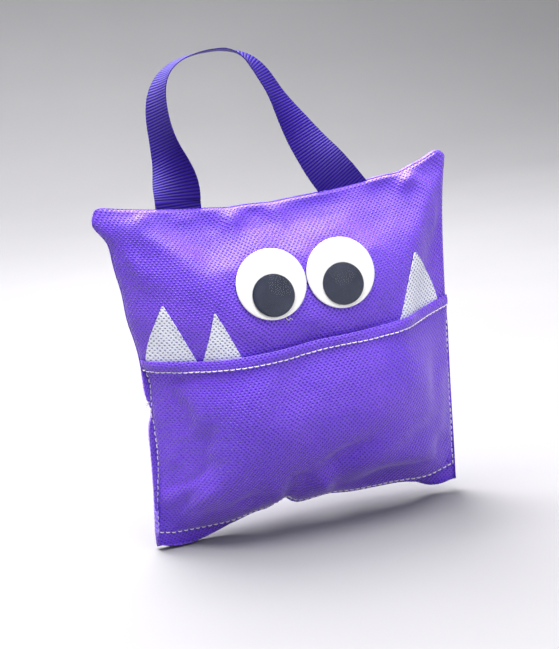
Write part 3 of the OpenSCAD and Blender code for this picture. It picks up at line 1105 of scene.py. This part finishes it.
def disc(name, radius, depth, z, bevel):
    deselect()
    bpy.ops.mesh.primitive_cylinder_add(vertices=96, radius=radius * mm, depth=depth * mm,
                                        location=(0, 0, (z + depth / 2) * mm))
    piece = settle(named(name))
    editWith("FACE")
    bpy.ops.object.mode_set(mode="OBJECT")
    for face in piece.data.polygons:
        face.select = face.normal.z > 0.9
    bpy.ops.object.mode_set(mode="EDIT")
    for _ in range(3):
        bpy.ops.mesh.inset(thickness=radius * 0.22 * mm)
    bpy.ops.object.mode_set(mode="OBJECT")
    roundEdges(piece, bevel, 4)
    applyAll(piece)
    smoothShade(piece, 35)
    return piece


def makeDome(name):
    # a clear cap: a slice of a ball with a short wall turned down round it
    rise, radius, wall = eyeMake["domeRise"], eyeMake["radius"] - 0.15, eyeMake["domeWall"]
    ball = (radius * radius + rise * rise) / (2 * rise)
    deselect()
    bpy.ops.mesh.primitive_uv_sphere_add(segments=96, ring_count=160, radius=ball * mm,
                                         location=(0, 0, (rise - ball) * mm))
    piece = settle(named(name))
    bpy.ops.object.mode_set(mode="EDIT")
    bpy.ops.mesh.select_all(action="SELECT")
    bpy.ops.mesh.bisect(plane_co=(0, 0, 0), plane_no=(0, 0, 1), clear_inner=True)
    bpy.ops.mesh.select_mode(type="EDGE")
    bpy.ops.mesh.select_all(action="DESELECT")
    bpy.ops.mesh.select_non_manifold(extend=False)
    bpy.ops.mesh.extrude_region_move(TRANSFORM_OT_translate={"value": (0, 0, -wall * mm)})
    bpy.ops.object.mode_set(mode="OBJECT")
    thicken(piece, "wall", 0.55, -1)
    roundEdges(piece, 0.4, 3)
    applyAll(piece)
    piece.data.transform(Matrix.Translation((0, 0, (1.25 + wall) * mm)))
    smoothShade(piece, 40)
    return piece


def makeEye(side):
    eye = eyes[side]
    eye["back"] = putOnEye(disc(side + "EyeBack", eyeMake["radius"], 1.2, 0, 0.4), eye)
    cover(eye["back"], eyeWhite)
    pupil = disc(side + "Pupil", eyeMake["pupil"], 0.7, 1.3, 0.22)
    pupil.data.transform(Matrix.Translation((0, -eyeMake["drop"] * mm, 0)))
    eye["pupil"] = putOnEye(pupil, eye)
    cover(eye["pupil"], pupilBlack)
    eye["dome"] = putOnEye(makeDome(side + "EyeDome"), eye)
    cover(eye["dome"], clearPlastic)


def makeGlue(side, wisp):
    # the pad of glue under an eye, and the wisp that was drawn out of it
    eye = eyes[side]
    deselect()
    bpy.ops.mesh.primitive_ico_sphere_add(subdivisions=4, radius=1)
    piece = settle(named(side + "EyeGlue"))
    for v in piece.data.vertices:
        a = math.atan2(v.co.y, v.co.x)
        spread = 8.0 + 0.7 * math.sin(3 * a + len(side)) + 0.4 * math.sin(5 * a)
        flat = math.copysign(abs(v.co.z) ** 0.7, v.co.z)
        v.co = Vector((v.co.x * spread, v.co.y * spread, flat * 0.55 - 0.5)) * mm
    piece = putOnEye(piece, eye)
    if wisp:
        strand, points = strandCurve("wisp", 0.15, 2, len(wisp) - 1)
        for point, (x, y, z, r) in zip(points, wisp):
            point.co = eyeFrame(eye) @ Vector((x * mm, y * mm, z * mm))
            point.radius = r
        pick(strand)
        bpy.ops.object.convert(target="MESH")
        joinTo(piece, [strand])
    smoothShade(piece)
    cover(piece, setGlue)
    eye["glue"] = piece


for side in eyes:
    makeEye(side)
# the wisp's places on the eye and its width there
makeGlue("left", [
    (2, -9, -0.6, 1.2), (4.4, -16.4, -0.5, 1.3), (5.4, -17.9, -0.2, 1.5), (6.6, -17.4, 0.1, 1.0),
    (7.5, -18.3, 0.0, 0.5),
])
makeGlue("right", None)
print("eyes glued on")


# ribbon
ribbonMake = {
    "middle": -7.8, "gap": 79.4, "width": 22.2, "thick": 0.42, "top": 231.8, "lean": 15.0, "apex": -6.4,
    "rib": 1.45, "weft": 0.5, "steps": 170, "across": 13, "tail": 7, "leftTail": 2.4, "tailLength": 15,
}
lean = math.radians(ribbonMake["lean"])
foldZ = (Vector(joints["pillow_swing"]["pos_m"]).z - footZ) / mm
loopFoot = foldZ + 0.35


def bezier(p, t):
    s = 1 - t
    return [s ** 3 * a + 3 * s * s * t * b + 3 * s * t * t * c + t ** 3 * d for a, b, c, d in zip(*p)]


def leanBack(x, z):
    h = z - loopFoot
    return Vector((x, h * math.tan(lean) * ramp(h, -12, 26), z))


apexX, apexZ = ribbonMake["middle"] + ribbonMake["apex"], ribbonMake["top"]
leftFoot = ribbonMake["middle"] - ribbonMake["gap"] / 2
rightFoot = ribbonMake["middle"] + ribbonMake["gap"] / 2
leftLeg = [(leftFoot, loopFoot), (leftFoot + 3, loopFoot + 24), (apexX - 53, apexZ + 2), (apexX, apexZ)]
rightLeg = [(apexX, apexZ), (apexX + 25, apexZ - 3), (rightFoot - 27, loopFoot + 42), (rightFoot, loopFoot)]
# how far along and how many degrees it has turned about its own line
turns = [(0, 0), (0.04, 12), (0.1, 50), (0.16, 67), (0.22, 73), (0.3, 77), (0.38, 80), (0.5, 82), (0.6, 66),
         (0.7, 55), (0.8, 52), (0.88, 34), (0.94, 15), (1, 0)]


def loopLine(t):
    return leanBack(*(bezier(leftLeg, 2 * t) if t < 0.5 else bezier(rightLeg, 2 * t - 1)))


def loopTurn(t):
    for (a, x), (b, y) in zip(turns, turns[1:]):
        if t <= b:
            return math.radians(x + (y - x) * (t - a) / (b - a))
    return 0.0


def smoothTurn(t):
    around = [loopTurn(min(1, max(0, t + k * 0.012))) for k in range(-3, 4)]
    return sum(around) / len(around)


leanPlane = Vector((0, math.cos(lean), -math.sin(lean)))


def ribbonPlace(i, j):
    steps, tail = ribbonMake["steps"], ribbonMake["tail"]
    s = j / (ribbonMake["across"] - 1) * 2 - 1
    half = ribbonMake["width"] / 2
    if i < tail:
        # the left end goes straight down between the panels and stops in the seam
        low = topSeam(leftFoot) - ribbonMake["leftTail"]
        return at(leftFoot + s * half, 0.0, low + (loopFoot - low) * i / tail)
    t = min(1, (i - tail) / (steps - 1 - 2 * tail))
    near = 0.004
    along = (loopLine(min(1, t + near)) - loopLine(max(0, t - near))).normalized()
    if t == 0:
        along = Vector((0, 0, 1))
    # it lies in the seam's plane at its feet and leans back above them
    facing = Vector((0, 1, 0)).lerp(leanPlane, ramp(min(t, 1 - t), 0, 0.08))
    out = (facing - facing.dot(along) * along).normalized()
    flat = out.cross(along).normalized()
    turn = smoothTurn(t) if 0 < t < 1 else 0.0
    wide = math.cos(turn) * flat - math.sin(turn) * out
    through = along.cross(wide).normalized()
    cup = 0.5 * math.sin(math.pi * t) * (1 - s * s) + 0.15 * math.sin(t * 31) * s
    p = loopLine(t) + wide * half * s + through * cup
    # the right end keeps its slant into the seam
    p += along * ribbonMake["tailLength"] * max(0, i - (steps - 1 - tail)) / tail
    return at(*p)


def ribbonMaterial():
    material, shader = newMaterial("purple grosgrain", (0.04, 0.012, 0.32), 0.55, Specular_IOR_Level=0.18,
                                   Sheen_Weight=0.03, Sheen_Roughness=0.35, Sheen_Tint=(0.5, 0.42, 1.0, 1))
    uv = node(material, "UVMap", uv_map="cloth").outputs[0]
    split = node(material, "SeparateXYZ")
    wire(material, uv, split.inputs[0])

    def waves(socket, pitch):
        phase = maths(material, "MULTIPLY", socket, 2 * math.pi / (pitch * mm))
        return maths(material, "MULTIPLY_ADD", maths(material, "SINE", phase), 0.5, 0.5)

    rib = maths(material, "POWER", waves(split.outputs[0], ribbonMake["rib"]), 0.7)
    weft = waves(split.outputs[1], ribbonMake["weft"])
    fuzz = noiseOn(material, Scale=900.0, Detail=3.0)
    # the colour is darkest between the ribs, which is painted shade in the grooves; the fuzz and the weft add
    # a little uneven tone
    tone = maths(material, "MULTIPLY", rib, 0.7)
    tone = maths(material, "ADD", tone, maths(material, "MULTIPLY", fuzz, 0.25))
    tone = maths(material, "ADD", tone, maths(material, "MULTIPLY", weft, 0.08))
    colourBy(material, shader, tone, (0.003, 0.001, 0.035), (0.033, 0.008, 0.33))
    bumpBy(material, shader, maths(material, "ADD", rib, maths(material, "MULTIPLY", weft, 0.12)), 0.9, 0.35)
    return material


ribbon = clothGrid("ribbonLoop", ribbonMake["steps"], ribbonMake["across"], ribbonPlace, straight=True)
thicken(ribbon, "weave", ribbonMake["thick"])
applyAll(ribbon)
outward(ribbon)
smoothShade(ribbon, 50)
cover(ribbon, ribbonMaterial())
ribbonLength = sum((loopLine((k + 1) / 200) - loopLine(k / 200)).length for k in range(200)) * mm
ribbonLength += (loopFoot - topSeam(leftFoot) + ribbonMake["leftTail"] + ribbonMake["tailLength"]) * mm
print("ribbon looped, length", round(ribbonLength / mm), "mm")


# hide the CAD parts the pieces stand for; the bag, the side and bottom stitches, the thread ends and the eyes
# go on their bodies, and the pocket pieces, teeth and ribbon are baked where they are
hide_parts("face_panel", "back_panel", "stuffing", "seam_allowance", "turned_seam_thread")
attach(bag, "pillow")

gapeStart, gapeEnd = at(0, -3, 40), at(0, -27, 40)
pocketPieces = [
    (pocket, "purple_cloth", ("pocket_panel", "pocket_edge")),
    (hem, "purple_cloth", ("pocket_hem",)),
    (hemStitches, "thread", ("hem_stitching",)),
] + [(how["piece"], "white_cloth", (cadNode,)) for cadNode, how in teeth.items()]
for piece, slotName, nodes in pocketPieces:
    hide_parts(*nodes)
    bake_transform(piece)
    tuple(gapeStart)
    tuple(gapeEnd)

for piece, slotName, nodes in [
    (leftStitches, "thread", ("left_stitching",)), (rightStitches, "thread", ("right_stitching",)),
    (bottomStitches, "thread", ("bottom_stitching",)), (threadEnds, "thread", ("thread_ends",)),
]:
    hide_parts(*nodes)
    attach(piece, "pillow")

for side, eye in eyes.items():
    for part, slotName, body in (("back", "eye_white", "pillow"), ("dome", "clear_plastic", "pillow"),
                                 ("glue", "glue", "pillow"), ("pupil", "pupil", side + "_pupil")):
        cadNode = side + "_pupil" if part == "pupil" else side + "_eye_" + part
        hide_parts(cadNode)
        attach(eye[part], body)

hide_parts("ribbon_loop", "ribbon_tails")
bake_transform(ribbon)
print("pieces on their bodies")


# floor and light
def studio():
    deselect()
    low = min(cadBox[0][2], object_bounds()[0][2])
    bendAt, bend = 1.0, 0.9  # where the paper starts to curve up behind, and how widely
    bpy.ops.mesh.primitive_grid_add(x_subdivisions=2, y_subdivisions=40, size=6, location=(0, 1.2, low))
    floor = settle(named("floor"))
    for v in floor.data.vertices:
        beyond = v.co.y - bendAt
        if beyond > 0:
            turn = min(beyond / bend, math.pi / 2)
            rest = max(0, beyond - bend * math.pi / 2)
            v.co.y = bendAt + bend * math.sin(turn)
            v.co.z = low + bend * (1 - math.cos(turn)) + rest
    smoothShade(floor)
    paper = mottled("backdrop paper", (0.23, 0.23, 0.235), (0.25, 0.25, 0.255), 0.8,
                    {"Scale": 8.0, "Detail": 2.0})[0]
    cover(floor, paper)
    floor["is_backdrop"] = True

    lamps = [
        ("above", (-0.15, 0.05, 1.20), 1.2, 42.0, (1.0, 0.98, 1.0)),
        ("above front", (0.35, -0.9, 1.0), 0.9, 8.0, (1.0, 0.99, 1.0)),
        ("front", (0.55, -1.4, 0.45), 1.0, 4.0, (1.0, 0.99, 0.98)),
        ("above behind", (-0.1, 0.8, 1.05), 1.1, 42.0, (1.0, 0.98, 1.0)),
    ]
    aim = at(0, 0, 100)
    for name, offset, size, power, colour in lamps:
        data = bpy.data.lights.new(name, "AREA")
        data.shape = "DISK"
        data.size = size
        data.energy = power
        data.color = colour
        lamp = bpy.data.objects.new(name, data)
        lamp.location = aim + Vector(offset)
        lamp.rotation_euler = Vector(offset).to_track_quat("Z", "Y").to_euler()
        scene.collection.objects.link(lamp)

    world = bpy.data.worlds.new("studio")
    world.use_nodes = True
    sky = world.node_tree.nodes["Background"]
    sky.inputs["Color"].default_value = (0.86, 0.90, 1.0, 1)
    sky.inputs["Strength"].default_value = 0.18
    scene.world = world
    scene.view_settings.view_transform = "Standard"


studio()
print("studio lit")
